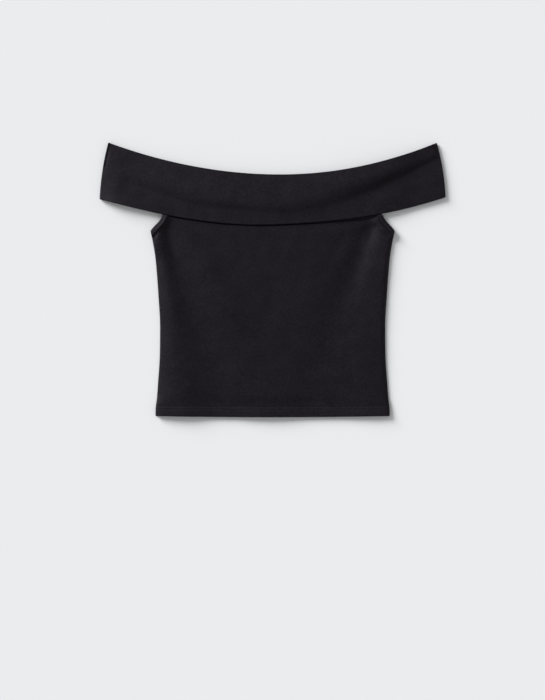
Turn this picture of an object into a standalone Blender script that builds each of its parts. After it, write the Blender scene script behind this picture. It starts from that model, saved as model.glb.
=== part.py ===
"""Off-the-shoulder top in a firm double knit, laid flat on its back.

The wide shoulder band is a strip folded double along its neckline. Its lower
edges close over the upper arms and hold the body panel between them. The body
is a front and a back panel with turned-up hems, and each armhole is bound.
X runs across the top, +Y towards the neckline and +Z up from the surface.
Sizes are in millimetres and become metres when a mesh is made.
"""
from collections import namedtuple

import bpy
import numpy as np

MM = 0.001

# Cloth and seams
CLOTH = 1.1
SEAM_GAP = 0.3
PLY_STEP = CLOTH + SEAM_GAP
FOLD_REACH = PLY_STEP / 2 + CLOTH / 2
LOWEST_PLY = CLOTH / 2

# Shoulder band, seen from above: each edge sags from its two corners to a low point
Bow = namedtuple("Bow", "low_x low_y left_reach left_rise left_power right_reach right_rise right_power")
NECKLINE = Bow(11.0, 166.5, 269.8, 50.5, 1.97, 248.6, 50.5, 2.06)
BAND_LOWER = Bow(-7.0, 87.6, 266.0, 40.6, 1.80, 280.0, 43.8, 2.12)
BAND_END_BULGE = 2.5
BAND_END_RADIUS = 2.4
BAND_END_SEAM = 3.0
BAND_END_LOFT = 0.85
BAND_LOFT_LENGTH = 90.0

# Body panels: half widths from the seam allowance down to the hem
Level = namedtuple("Level", "y half_width")
ARMHOLE = (
    Level(113.0, 169.0), Level(103.2, 171.7), Level(97.0, 174.2),
    Level(90.2, 178.9), Level(83.6, 185.4), Level(75.5, 192.0),
)
SIDE = (
    Level(75.5, 192.0), Level(60.0, 188.8), Level(40.0, 185.5), Level(15.0, 183.0),
    Level(-30.0, 179.8), Level(-63.0, 177.8), Level(-95.0, 177.7), Level(-127.0, 178.4),
    Level(-160.0, 180.7), Level(-190.0, 183.0), Level(-201.0, 184.4), Level(-217.0, 184.6),
)
ALLOWANCE = 9.0
HEM_CENTRE = -217.0
HEM_CORNER = -215.2
HEM_DEPTH = 18.0
HEM_TOP = HEM_CENTRE + HEM_DEPTH
HEM_RAMP = 20.0
HEM_STIFFNESS = 0.4

# Where the plies pile up: full height at the seam, then a soft slope down
SEAM_FLAT = 11.0
BAND_RAMP_END = 32.0
ARM_FLAT = 172.0
ARM_RAMP_END = 205.0
BODY_RAMP = 24.0

# Armhole binding, whose upper end is cut along the band's edge
BINDING_WIDTH = 5.5
BINDING_END = (-1.0, -0.2)
BINDING_FLAT = 9.0
BINDING_RAMP = 15.0

# Pull lines that run round the neckline: a crease, and the roll of cloth above it
Pull = namedtuple("Pull", "x y lift crest")
NECK_PULL = (
    Pull(-273.0, 168.0, 0.0, 12.0), Pull(-206.0, 156.0, 0.5, 13.0), Pull(-130.0, 132.0, 0.9, 14.0),
    Pull(-54.0, 119.0, 0.7, 14.0), Pull(21.0, 108.0, 0.6, 14.0), Pull(85.0, 121.0, 1.2, 14.0),
    Pull(135.0, 143.0, 2.0, 13.0), Pull(198.0, 168.5, 3.0, 12.0), Pull(249.0, 191.0, 2.0, 10.0),
    Pull(273.0, 201.0, 0.0, 9.0),
)
CREASE_SOFTNESS = 3.0
PULL_FADE = 25.0

# Soft folds in the front panel, from under the arm to the hem
Fold = namedtuple("Fold", "top_x top_y low_x low_y top_spread low_spread top_lift low_lift")
FRONT_FOLDS = (
    Fold(-183.0, 62.0, -152.0, -215.0, 8.0, 28.0, 1.6, 1.3),
    Fold(146.0, 74.0, 62.0, -215.0, 10.0, 28.0, -1.6, -0.9),
    Fold(168.0, 66.0, 150.0, -120.0, 10.0, 20.0, 1.2, 0.5),
    Fold(-95.0, 60.0, -30.0, -150.0, 14.0, 20.0, 0.5, 0.4),
)
FRONT_LOFT = 1.5
SIDE_FALL = 22.0

# How finely each surface is divided
NECK_FOLD_STEPS = 4
HEM_FOLD_STEPS = 4
BINDING_FOLD_STEPS = 4
ARMHOLE_DIVISIONS = 2
EDGE_SAMPLES = 12
END_ROLL_TURNS = (90.0, 66.0, 42.0, 20.0)

# Columns of the band, as distances from its ends
FRONT_BAND_COLUMNS = (3.5, 10.0, 22.0, 36.0, 52.0, 68.0, 79.0, 90.0, 101.0, *np.linspace(114.0, 264.0, 12))
BACK_BAND_COLUMNS = (3.5, 36.0, 68.0, 79.0, 90.0, 101.0, 135.0, 170.0, 210.0, 252.0)

# Rows of the band: a height above its lower edge, and a share of what lies above the pile
SEAM_ROWS = ((0.0, 0.0), (10.0, 0.0), (20.0, 0.0), (BAND_RAMP_END, 0.0))
FRONT_BAND_ROWS = SEAM_ROWS + tuple((BAND_RAMP_END, part) for part in (0.2, 0.4, 0.6, 0.8, 1.0))
BACK_BAND_ROWS = SEAM_ROWS + ((BAND_RAMP_END, 1.0),)

# Columns of the panels, as distances from the side seam, and levels of their rows
SIDE_COLUMNS = (0.0, 5.0, 10.0, 16.0, 24.0, 34.0)
FRONT_COLUMNS = SIDE_COLUMNS + (45.0, 57.0, 70.0, 84.0, 99.0, 115.0, 132.0, 150.0, 165.0, 180.0)
BACK_COLUMNS = SIDE_COLUMNS + (60.0, 95.0, 135.0, 180.0)
FRONT_LEVELS = (
    69.0, 62.0, 52.0, 40.0, 25.0, 10.0, -8.0, -28.0, -50.0, -74.0, -98.0, -122.0, -144.0, -162.0,
    -176.0, -186.0,
)
BACK_LEVELS = (69.0, 60.0, 50.0, 20.0, -30.0, -90.0, -150.0)
HEM_LEVELS = (HEM_TOP, HEM_TOP - 8.0, HEM_CORNER + FOLD_REACH)

COLOUR = (0.0140, 0.0125, 0.0165, 1.0)
ROUGHNESS = 0.9
SHARP_ANGLE = 50.0


def clear_scene():
    """Remove whatever the open file holds."""
    for thing in list(bpy.data.objects):
        bpy.data.objects.remove(thing, do_unlink=True)


def ease(value, start, end):
    """Rise smoothly from 0 at start to 1 at end, level at both."""
    t = np.clip((value - start) / (end - start), 0.0, 1.0)
    return t * t * (3.0 - 2.0 * t)


def smooth_table(at, places, values):
    """Read a smooth curve through a short table: cubic pieces whose slopes at
    each place are the slope from its neighbour before to its neighbour after."""
    places = np.asarray(places, float)
    values = np.asarray(values, float)
    slopes = np.gradient(values, places)
    at = np.clip(at, places[0], places[-1])
    i = np.clip(np.searchsorted(places, at, side="right") - 1, 0, len(places) - 2)
    span = places[i + 1] - places[i]
    t = (at - places[i]) / span
    start = (1 + 2 * t) * (1 - t) ** 2 * values[i] + t * (1 - t) ** 2 * span * slopes[i]
    end = t * t * (3 - 2 * t) * values[i + 1] + t * t * (t - 1) * span * slopes[i + 1]
    return start + end


def bow_height(x, bow):
    """Height of a sagging edge at x: its low point plus a power of the distance from it."""
    side = np.asarray(x, float) - bow.low_x
    left = bow.left_rise * np.clip(-side / bow.left_reach, 0, None) ** bow.left_power
    right = bow.right_rise * np.clip(side / bow.right_reach, 0, None) ** bow.right_power
    return bow.low_y + left + right


def armhole_edge(divisions, first=0):
    """Points down the right armhole's cloth edge to the underarm, with the given
    number of divisions between one row of its table and the next."""
    rows = np.arange(len(ARMHOLE))
    at = np.linspace(first, rows[-1], (rows[-1] - first) * divisions + 1)
    x = smooth_table(at, rows, [r.half_width for r in ARMHOLE])
    y = smooth_table(at, rows, [r.y for r in ARMHOLE])
    return np.stack([x, y], axis=-1)


def half_width(y):
    """Half the panel's width at height y: the armhole's curve above the underarm
    point, and the side seam's curve below it."""
    edge = armhole_edge(ARMHOLE_DIVISIONS)[::-1]
    at_armhole = np.interp(y, edge[:, 1], edge[:, 0])
    rows = sorted(SIDE)
    at_side = smooth_table(y, [r.y for r in rows], [r.half_width for r in rows])
    return np.where(y >= SIDE[0].y, at_armhole, at_side)


def pile(x, y):
    """How far the plies are piled up, from 0 in the open body to 1 under the band's
    lower edge and beside the armholes, where the panels lie between other plies."""
    above_seam = y - bow_height(x, BAND_LOWER)
    under_band = ease(above_seam, -BODY_RAMP, 0.0)
    edge = armhole_edge(EDGE_SAMPLES)
    gap = np.hypot(np.abs(x)[..., None] - edge[:, 0], y[..., None] - edge[:, 1]).min(axis=-1)
    beside_armhole = 1.0 - ease(gap, BINDING_FLAT, BINDING_FLAT + BINDING_RAMP)
    return 1.0 - (1.0 - under_band) * (1.0 - beside_armhole)


def band_pile(x, y):
    """The same inside the band: 1 where it holds the panel's allowance, 0 above it
    and over the arms, where its plies close on each other."""
    above_seam = y - bow_height(x, BAND_LOWER)
    in_height = 1.0 - ease(above_seam, SEAM_FLAT, BAND_RAMP_END)
    in_width = 1.0 - ease(np.abs(x), ARM_FLAT, ARM_RAMP_END)
    return in_height * in_width


def neck_pull(x, y):
    """Height of the pull line's roll: nothing below the crease, then d/c * exp(1 - d/c),
    with d the distance above the crease and c that of the crest."""
    places = [p.x for p in NECK_PULL]
    crease = smooth_table(x, places, [p.y for p in NECK_PULL])
    lift = smooth_table(x, places, [p.lift for p in NECK_PULL])
    crest = smooth_table(x, places, [p.crest for p in NECK_PULL])
    above = y - crease
    above = (above + np.sqrt(above ** 2 + CREASE_SOFTNESS ** 2)) / 2 / crest
    return np.clip(lift, 0, None) * above * np.exp(1.0 - above)


def body_folds(x, y):
    """Height of the front panel's loft and soft folds: each fold is a bell-shaped
    ridge or trough along a line, wider and lower towards the hem."""
    total = np.full_like(x, FRONT_LOFT)
    for fold in FRONT_FOLDS:
        along = (fold.top_y - y) / (fold.top_y - fold.low_y)
        clipped = np.clip(along, 0, 1)
        line = fold.top_x + (fold.low_x - fold.top_x) * clipped
        spread = fold.top_spread + (fold.low_spread - fold.top_spread) * clipped
        lift = fold.top_lift + (fold.low_lift - fold.top_lift) * clipped
        total += lift * np.exp(-0.5 * ((x - line) / spread) ** 2)
    inside = ease(half_width(y) - np.abs(x), 0.0, SIDE_FALL)
    return np.clip(total, 0.0, None) * inside


def front_panel_height(x, y):
    """Middle of the front panel: one ply up in the open body, four in the pile, three
    over the hem, plus its folds."""
    piled = pile(x, y)
    over_hem = 1.0 - ease(y, HEM_TOP + 1.0, HEM_TOP + HEM_RAMP)
    loose = 2 * PLY_STEP * over_hem + (1.0 - HEM_STIFFNESS * over_hem) * body_folds(x, y)
    return LOWEST_PLY + PLY_STEP * (1 + 3 * piled) + (1.0 - piled) * loose


def back_panel_height(x, y):
    """Middle of the back panel: on the surface, and one ply up in the pile."""
    return LOWEST_PLY + PLY_STEP * pile(x, y)


def front_band_height(x, y, from_end):
    """Middle of the front band's outer ply."""
    loft = BAND_END_LOFT * (1.0 - ease(from_end, BAND_END_RADIUS, BAND_LOFT_LENGTH))
    pulled = neck_pull(x, y) * ease(from_end, BAND_END_RADIUS, PULL_FADE)
    return LOWEST_PLY + PLY_STEP * (3 + 2 * band_pile(x, y)) + loft + pulled


def back_band_height(x, y, from_end):
    """Middle of the back band's outer ply: it lies on the surface all over."""
    return np.full_like(x, LOWEST_PLY)


def surface_normals(grid, end_rise=0):
    """Unit normals of a grid of points: the cross product of the directions along a
    row and down a column. end_rise is 1 where rows rise straight up from their first
    point and drop straight down to their last, -1 for the reverse and 0 for neither."""
    along = np.gradient(grid, axis=1)
    if end_rise:
        along[:, 0] = (0.0, 0.0, end_rise)
        along[:, -1] = (0.0, 0.0, -end_rise)
    across = np.gradient(grid, axis=0)
    normal = np.cross(along, across)
    return normal / np.linalg.norm(normal, axis=-1, keepdims=True)


def turned_back(outer, normals, depth, lower_rows, steps):
    """Fold a ply over past its last row: a half circle, then the same rows again,
    moved in by depth. Returns the whole strip from its first row to its last."""
    radius = depth[-1] / 2
    along = np.gradient(outer[-1], axis=0)
    onward = np.cross(along, normals[-1])
    onward /= np.linalg.norm(onward, axis=-1, keepdims=True)
    if np.sum(onward * (outer[-1] - outer[-2])) < 0:
        onward = -onward
    centre = outer[-1] - normals[-1] * radius[:, None]
    turns = []
    for turn in np.linspace(0, np.pi, steps + 1)[1:-1]:
        reach = normals[-1] * np.cos(turn) + onward * np.sin(turn)
        turns.append(centre + reach * radius[:, None])
    inner = outer - normals * depth[..., None]
    return np.concatenate([outer, np.array(turns), inner[::-1][:lower_rows]])


def band_grid(columns, rows):
    """Plan of the band: columns are distances from its ends, rows run from the lower
    edge to just short of the neckline fold."""
    half = BAND_LOWER.right_reach + BAND_LOWER.low_x
    share = np.concatenate([columns / half - 1.0, 1.0 - columns[::-1] / half])
    low_x = share * half
    top_x = share * (NECKLINE.right_reach + NECKLINE.low_x)
    low_y = bow_height(low_x, BAND_LOWER)
    depth = bow_height(top_x, NECKLINE) - FOLD_REACH - low_y
    raised = np.array([fixed + part * (depth - BAND_RAMP_END) for fixed, part in rows])
    up = raised / depth
    bulge = BAND_END_BULGE * 4 * up * (1 - up) * share ** 3
    x = low_x + (top_x - low_x) * up + bulge
    return x, low_y + raised


def band_solid(name, columns, rows, height, way):
    """One half of the band. way is 1 for the front, whose outer ply faces up, and -1
    for the back. Its ends roll round to meet the other half at the end seam."""
    turns = np.radians(END_ROLL_TURNS)
    rolled = CLOTH / 2 + BAND_END_RADIUS * (1 - np.sin(turns))
    from_end = np.concatenate([rolled, columns])
    upright = np.concatenate([np.cos(turns), np.ones(len(columns))])
    x, y = band_grid(from_end, rows)
    from_end = np.concatenate([from_end, from_end[::-1]])
    upright = np.concatenate([upright, upright[::-1]])
    seam = BAND_END_SEAM + way * SEAM_GAP / 2
    z = seam + (height(x, y, from_end) - seam) * upright
    outer = np.stack([x, y, z], axis=-1)
    normals = way * surface_normals(outer, way)
    depth = PLY_STEP * (1 + band_pile(x, y))
    strip = turned_back(outer, normals, depth, len(rows), NECK_FOLD_STEPS)
    return cloth_wall(name, strip, way, end_rise=way)


def panel_grid(from_side, levels):
    """Plan of a body panel: columns are distances from the side edges, and rows are
    named by their height at the side. Each row bends from the band's curve at the
    top to the hem's at the bottom."""
    inward = np.array(from_side) / from_side[-1]
    share = np.concatenate([inward - 1.0, 1.0 - inward[::-1][1:]])
    levels = np.array(levels)[:, None]
    x = share * half_width(levels)
    top = bow_height(x, BAND_LOWER) + ALLOWANCE
    sag = HEM_CENTRE - HEM_CORNER
    bottom = HEM_CORNER + sag * (1 - (x / SIDE[-1].half_width) ** 2) + FOLD_REACH
    down = (top - levels) / (top - bottom)
    down = down[:, :1] * (1 - share) / 2 + down[:, -1:] * (1 + share) / 2
    return x, top + (bottom - top) * down


def panel_solid(name, from_side, levels, hem_rows, height, way):
    """A body panel with its hem turned up inside."""
    x, y = panel_grid(from_side, levels)
    outer = np.stack([x, y, height(x, y)], axis=-1)
    normals = surface_normals(outer)
    normals *= way * np.sign(normals[..., 2:])
    depth = np.full(x.shape, PLY_STEP)
    strip = turned_back(outer, normals, depth, hem_rows, HEM_FOLD_STEPS)
    return cloth_wall(name, strip, way)


def binding_solid(name, side, panel_height, way):
    """Binding of one armhole edge: a ply over the panel, a half circle round its edge
    and a ply under it. side is 1 for the armhole at +X, and -1 for the one at -X."""
    edge = armhole_edge(ARMHOLE_DIVISIONS, first=1)
    tangent = np.gradient(edge, axis=0)
    inward = np.stack([tangent[:, 1], -tangent[:, 0]], axis=-1)
    inward /= np.linalg.norm(inward, axis=-1, keepdims=True)
    cross = inward.copy()
    cross[0] = BINDING_END
    cross[-1] = (SIDE[1].half_width - SIDE[0].half_width, SIDE[1].y - SIDE[0].y)
    cross /= np.sum(cross * inward, axis=-1, keepdims=True)
    sections = []
    for reach in (BINDING_WIDTH, BINDING_WIDTH / 2, 0.0):
        sections.append((reach, 1.0))
    for turn in np.linspace(0, np.pi, BINDING_FOLD_STEPS + 1)[1:-1]:
        sections.append((-PLY_STEP * np.sin(turn), np.cos(turn)))
    for reach in (0.0, BINDING_WIDTH / 2, BINDING_WIDTH):
        sections.append((reach, -1.0))
    strip = []
    for reach, lift in sections:
        place = edge + cross * reach
        z = panel_height(edge[:, 0], edge[:, 1]) + way * lift * PLY_STEP
        strip.append(np.stack([side * place[:, 0], place[:, 1], z], axis=-1))
    return cloth_wall(name, np.array(strip), side * way)


def cloth_wall(name, strip, way, end_rise=0):
    """Give a strip of middle points the cloth's thickness and close its four edges."""
    out = way * surface_normals(strip, end_rise) * CLOTH / 2
    rows, columns = strip.shape[:2]
    points = np.concatenate([(strip + out).reshape(-1, 3), (strip - out).reshape(-1, 3)])
    index = np.arange(rows * columns).reshape(rows, columns)
    under = index + rows * columns
    faces = []
    for sheet, flip in ((index, False), (under, True)):
        quads = np.stack([sheet[:-1, :-1], sheet[:-1, 1:], sheet[1:, 1:], sheet[1:, :-1]], axis=-1)
        quads = quads.reshape(-1, 4)
        faces += (quads[:, ::-1] if flip else quads).tolist()
    rim = np.concatenate([index[0, :-1], index[:-1, -1], index[-1, :0:-1], index[:0:-1, 0]])
    rim_under = rim + rows * columns
    after = np.roll(rim, -1)
    faces += np.stack([after, rim, rim_under, np.roll(rim_under, -1)], axis=-1).tolist()
    return add_solid(name, points, faces, way < 0)


def add_solid(name, points, faces, inside_out):
    """Make the mesh and its object, with the cloth's material."""
    mesh = bpy.data.meshes.new(name)
    if inside_out:
        faces = [face[::-1] for face in faces]
    mesh.from_pydata((points * MM).tolist(), [], faces)
    mesh.validate()
    mesh.shade_smooth()
    mesh.set_sharp_from_angle(angle=np.radians(SHARP_ANGLE))
    mesh.materials.append(knit_material(name))
    solid = bpy.data.objects.new(name, mesh)
    bpy.context.scene.collection.objects.link(solid)
    return solid


def knit_material(name):
    """Near-black matt double knit."""
    material = bpy.data.materials.new(name + "_knit")
    material.use_nodes = True
    shader = material.node_tree.nodes["Principled BSDF"]
    shader.inputs["Base Color"].default_value = COLOUR
    shader.inputs["Roughness"].default_value = ROUGHNESS
    shader.inputs["Metallic"].default_value = 0.0
    material.diffuse_color = COLOUR
    return material


def build():
    """Lay the pieces from the surface up."""
    clear_scene()
    band_solid("band_front", FRONT_BAND_COLUMNS, FRONT_BAND_ROWS, front_band_height, 1)
    band_solid("band_back", BACK_BAND_COLUMNS, BACK_BAND_ROWS, back_band_height, -1)

    armhole_levels = tuple(armhole_edge(ARMHOLE_DIVISIONS)[:, 1])
    front_levels = armhole_levels + FRONT_LEVELS + HEM_LEVELS
    back_levels = armhole_levels + BACK_LEVELS + HEM_LEVELS
    panel_solid("front_panel", FRONT_COLUMNS, front_levels, len(HEM_LEVELS), front_panel_height, 1)
    panel_solid("back_panel", BACK_COLUMNS, back_levels, len(HEM_LEVELS), back_panel_height, -1)

    for place, panel_height, way in (("front", front_panel_height, 1), ("back", back_panel_height, -1)):
        for hand, side in (("left", -1), ("right", 1)):
            binding_solid(f"binding_{place}_{hand}", side, panel_height, way)


build()
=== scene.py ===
# %% [markdown]
# # An off-the-shoulder knit top, laid flat
#
# The garment is cropped and plain: a body in firm, near-black double knit, and a wide band
# that sits round the upper arms. It lies on its back on a pale surface and is seen from
# straight above. Each piece of cloth is made here as a real sheet with two faces and rounded
# edges, folded where a maker would fold it.
#
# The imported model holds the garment's plain solids. It is loaded first, and nothing in it is
# moved. Every sheet below takes the place of one of its nodes.

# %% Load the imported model
from collections import namedtuple

import bpy
import numpy as np
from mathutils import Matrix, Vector


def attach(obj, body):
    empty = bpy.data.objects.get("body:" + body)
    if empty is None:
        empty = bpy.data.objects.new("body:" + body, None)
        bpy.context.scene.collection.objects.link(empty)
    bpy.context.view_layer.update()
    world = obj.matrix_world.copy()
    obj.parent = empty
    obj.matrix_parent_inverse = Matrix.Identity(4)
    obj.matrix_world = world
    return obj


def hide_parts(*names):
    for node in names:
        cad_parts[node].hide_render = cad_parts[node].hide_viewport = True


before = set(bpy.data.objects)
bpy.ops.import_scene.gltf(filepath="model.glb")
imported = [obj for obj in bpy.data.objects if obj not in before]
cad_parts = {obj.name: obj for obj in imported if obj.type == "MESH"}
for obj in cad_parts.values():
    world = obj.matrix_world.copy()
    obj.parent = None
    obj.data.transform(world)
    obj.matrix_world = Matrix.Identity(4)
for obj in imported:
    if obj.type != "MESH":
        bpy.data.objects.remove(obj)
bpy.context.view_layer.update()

print("nodes in the model:", ", ".join(sorted(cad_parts)))

# %% [markdown]
# ## Sizes
#
# Sewing is measured in millimetres, so this lesson keeps them until a mesh is made. One ply
# of this knit is 1.1 mm thick, and two plies that lie on each other are a step of 1.4 mm
# apart from middle to middle, because pressed cloth never quite closes. The hem is sewn down,
# so its step is 1.2 mm. Many measures follow from these: the radius of a folded edge, and how
# high a seam piles up.

# %% Cloth and seams
MM = 0.001
CLOTH = 1.1
PLY_STEP = 1.4
HEM_STEP = 1.2
FOLD_REACH = PLY_STEP / 2 + CLOTH / 2
LOWEST_PLY = CLOTH / 2
print("a folded edge reaches", FOLD_REACH, "mm past the end of its plies")

# %% [markdown]
# ## Tools for smooth shapes
#
# Cloth has no hard steps, so nearly every rule below is blended by the same smooth rise from
# 0 to 1. A curve that no simple formula gives, such as the side seam, is read from a short
# table of measured places. Cubic pieces pass through all of them without a kink. A spline
# object would do that too, but a function of a whole array is simpler to build surfaces on.

# %% Smooth rise and smooth table
def ease(value, start, end):
    """Smooth rise: t squared times (3 - 2t), with t running from 0 at start to 1 at end."""
    t = np.clip((value - start) / (end - start), 0, 1)
    return t * t * (3 - 2 * t)


def bell(distance, spread):
    """Bell curve: 1 on its line, and e to the power of minus half the squared distance,
    counted in spreads, away from it."""
    return np.exp(-0.5 * (distance / spread) ** 2)


def smooth_table(at, places, values):
    """Smooth curve through a table: between two places it is a cubic. Its slope at each
    place is the weighted mean of the slopes to the neighbours before and after."""
    places, values = np.array([places, values], float)
    slopes = np.gradient(values, places)
    at = np.clip(at, places[0], places[-1])
    i = np.clip(np.searchsorted(places, at, side="right") - 1, 0, len(places) - 2)
    span = places[i + 1] - places[i]
    t = (at - places[i]) / span
    start = (1 + 2 * t) * (1 - t) ** 2 * values[i] + t * (1 - t) ** 2 * span * slopes[i]
    end = t * t * (3 - 2 * t) * values[i + 1] + t * t * (t - 1) * span * slopes[i + 1]
    return start + end


def column(table, name, at, over="x"):
    """Smooth curve through one named column of a table, read over another."""
    return smooth_table(at, [getattr(row, over) for row in table],
                        [getattr(row, name) for row in table])

# %% [markdown]
# ## The band's outline
#
# Both long edges of the shoulder band sag between the arms, each from two corners to a low
# point that lies a little off the middle. A power of the distance from that low point fits
# such a curve with one line of numbers, where a chain of control points would need a dozen.

# %% Neckline and lower edge of the band
Bow = namedtuple("Bow", "low_x low_y left_reach left_rise left_power "
                 "right_reach right_rise right_power sway")
NECKLINE = Bow(11, 166.5, 269.8, 50.5, 1.97, 248.6, 50.5, 2.06, 0)
BAND_LOWER = Bow(-7, 87.6, 266, 40.6, 1.80, 280, 43.8, 2.12, 1.35)
SWAY_REACH = 90
BAND_END_BULGE = 2.5


def bow_height(x, bow):
    """Sagging edge: its low point plus the rise times a power of the distance from it. A
    small sway lowers its left half and raises its right one, most at the sway's reach."""
    side = x - bow.low_x
    left = bow.left_rise * np.clip(-side / bow.left_reach, 0, None) ** bow.left_power
    right = bow.right_rise * np.clip(side / bow.right_reach, 0, None) ** bow.right_power
    reach = side / SWAY_REACH
    return bow.low_y + left + right + bow.sway * reach * np.exp((1 - reach ** 2) / 2)


depth = bow_height(0.0, NECKLINE) - bow_height(0.0, BAND_LOWER)
print("the band is", round(float(depth), 1), "mm deep in the middle")

# %% [markdown]
# ## The body's outline
#
# Front and back are cut alike: a short curved armhole under the band, then a side seam that
# draws in at the waist and flares to the hem. The tables give half the width at each level.

# %% Armhole, side seam and hem
Level = namedtuple("Level", "y half_width")
ARMHOLE = (
    Level(113, 169), Level(103.2, 171.7), Level(97, 174.2),
    Level(90.2, 178.9), Level(83.6, 185.4), Level(75.5, 192),
)
SIDE = (
    Level(75.5, 192), Level(60, 188.8), Level(40, 185.5), Level(15, 183),
    Level(-30, 179.8), Level(-63, 177.8), Level(-95, 177.7), Level(-127, 178.4),
    Level(-160, 180.7), Level(-190, 183), Level(-201, 184.4), Level(-217, 184.6),
)
ALLOWANCE = 9
HEM_CENTRE = -216.2
HEM_CORNER = -214.4
HEM_DEPTH = 17.2
HEM_TOP = HEM_CENTRE + HEM_DEPTH


def armhole_edge(divisions, first=0):
    """Right armhole's cloth edge, from the seam allowance down to the underarm."""
    rows = np.arange(len(ARMHOLE))
    at = np.linspace(first, rows[-1], (rows[-1] - first) * divisions + 1)
    y, x = (smooth_table(at, rows, values) for values in zip(*ARMHOLE))
    return np.stack([x, y], axis=-1)


ARMHOLE_POINTS = armhole_edge(divisions=12)


def half_width(y):
    """Half the body's width: the armhole's curve above the underarm, the side's below."""
    edge = ARMHOLE_POINTS[::-1]
    at_armhole = np.interp(y, edge[:, 1], edge[:, 0])
    at_side = column(sorted(SIDE), "half_width", y, over="y")
    return np.where(y >= SIDE[0].y, at_armhole, at_side)


def hem_line(x):
    """Lower edge of the body: a shallow parabola, lowest in the middle."""
    sag = HEM_CENTRE - HEM_CORNER
    return HEM_CORNER + sag * (1 - (x / SIDE[-1].half_width) ** 2)


print("underarm to underarm:", 2 * SIDE[0].half_width, "mm; hem:", 2 * SIDE[-1].half_width, "mm")

# %% [markdown]
# ## How the plies pile up
#
# A flat garment is a stack. In the open body there are two plies, but under the band's lower
# edge and beside the armholes there are six, because the band and the binding each go over
# and under both panels. The cloth climbs there and slopes down softly beyond. That slope is
# what catches the light next to each armhole. Here a 0 to 1 mask says how far it has climbed.

# %% Pile masks
SEAM_FLAT = 11
BAND_RAMP_END = 72
ARM_FLAT = 172
ARM_RAMP_END = 236
BODY_RAMP = 24
BINDING_WIDTH = 5.5
BINDING_FLAT = 6.5
BINDING_RAMP = 8


def armhole_distance(x, y):
    """Distance to the nearer armhole's edge: the least over a chain of its points."""
    across = np.abs(x)[..., None] - ARMHOLE_POINTS[:, 0]
    up = y[..., None] - ARMHOLE_POINTS[:, 1]
    return np.sqrt((across ** 2 + up ** 2).min(axis=-1))


def pile(x, y):
    """1 under the band's lower edge and beside the armholes, 0 in the open body. The two
    masks join as 1 minus the product of what each leaves."""
    under_band = ease(y - bow_height(x, BAND_LOWER), -BODY_RAMP, 0.0)
    gap = armhole_distance(x, y)
    beside_armhole = 1 - ease(gap, BINDING_FLAT, BINDING_FLAT + BINDING_RAMP)
    return 1 - (1 - under_band) * (1 - beside_armhole)


def band_pile(x, y):
    """1 where the band holds the panels, 0 above them and over the arms."""
    above_seam = y - bow_height(x, BAND_LOWER)
    in_height = 1 - ease(above_seam, SEAM_FLAT, BAND_RAMP_END)
    in_width = 1 - ease(np.abs(x), ARM_FLAT, ARM_RAMP_END)
    return in_height * in_width


print("plies pile up to", round(LOWEST_PLY + 5 * PLY_STEP + CLOTH / 2, 1), "mm at the seam")

# %% [markdown]
# ## Folds that the photograph shows
#
# Two kinds show. A pull line runs round the neckline, sharp on the right arm and fading to
# the left: the cloth above it stands up, rolls over and ends in a crease. In the body, long
# soft folds spread from under the arms to the hem. A cloth simulation could make folds like
# these, but not these very ones, so each is given one by one as a line with its own height
# and width.

# %% Pull line round the neckline
Pull = namedtuple("Pull", "x y lift crest softness")
NECK_PULL = (
    Pull(-273, 164, 0, 12, 6), Pull(-236, 157, 0.3, 13, 4), Pull(-206, 148.5, 1.6, 15, 3),
    Pull(-130, 122, 2.8, 17, 3), Pull(-54, 112, 3.4, 20, 4), Pull(21, 107, 3.9, 22, 6),
    Pull(85, 119, 5.3, 24, 6), Pull(135, 135, 7.2, 24, 4.5), Pull(198, 163.5, 7.6, 16, 1.3),
    Pull(249, 188, 2.1, 8, 0.7), Pull(273, 199, 0.8, 6, 0.7),
)
PULL_HOLD = 0.6


def neck_pull(x, y):
    """Roll above a crease: with d the distance above the crease, counted in distances to
    the crest, the height is the lift times d times e to the power of 1 - d. Past its crest
    it falls only as far as the held share of the lift."""
    crease, lift, crest, softness = (column(NECK_PULL, name, x) for name in Pull._fields[1:])
    above = y - crease
    above = (above + np.sqrt(above ** 2 + softness ** 2)) / 2 / crest
    roll = above * np.exp(1 - above)
    roll = np.where(above > 1.0, PULL_HOLD + (1 - PULL_HOLD) * roll, roll)
    return np.clip(lift, 0, None) * roll

# %% Long folds and short creases
Fold = namedtuple("Fold", "top_x top_y low_x low_y bend top_spread low_spread top_lift low_lift")
FRONT_FOLDS = (
    Fold(-183, 71, -136, -215, 1.4, 6, 27, 1.9, 2.8),
    Fold(-166, 76, -85, -215, 1.05, 9.5, 30, -3.4, -0.8),
    Fold(155, 84, 60, -215, 1.3, 9.5, 28, -2.8, -0.9),
    Fold(182, 70, 158, -150, 1, 18, 27, 3, 1.9),
    Fold(-148, -150, -144, -210, 1, 20, 20, 0, 1.2),
    Fold(-90, 20, -30, -190, 1, 14, 24, 0, 1),
    Fold(8, -130, 8, -210, 1, 30, 36, 0, 2.2),
)
CREASE_FADE_IN = (-0.1, 0.3)
CREASE_FADE_OUT = (0.7, 1.1)
Crease = namedtuple("Crease", "x0 y0 x1 y1 spread lift")
FRONT_CREASES = (
    Crease(-150, 84, -128, 20, 5, -0.35), Crease(-60, 78, -42, 30, 6, -0.25),
    Crease(32, 76, 20, 22, 6, 0.25), Crease(118, 80, 86, 18, 6, -0.35),
    Crease(160, 40, 120, -60, 7, 0.35), Crease(-172, 10, -150, -90, 6, 0.3),
    Crease(-70, -120, -40, -205, 9, 0.35), Crease(70, -90, 96, -200, 9, 0.3),
    Crease(0, -20, -24, -120, 10, -0.25), Crease(130, -130, 150, -200, 8, 0.35),
    Crease(-118, 56, -50, -82, 13, 1.6),
)
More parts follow.
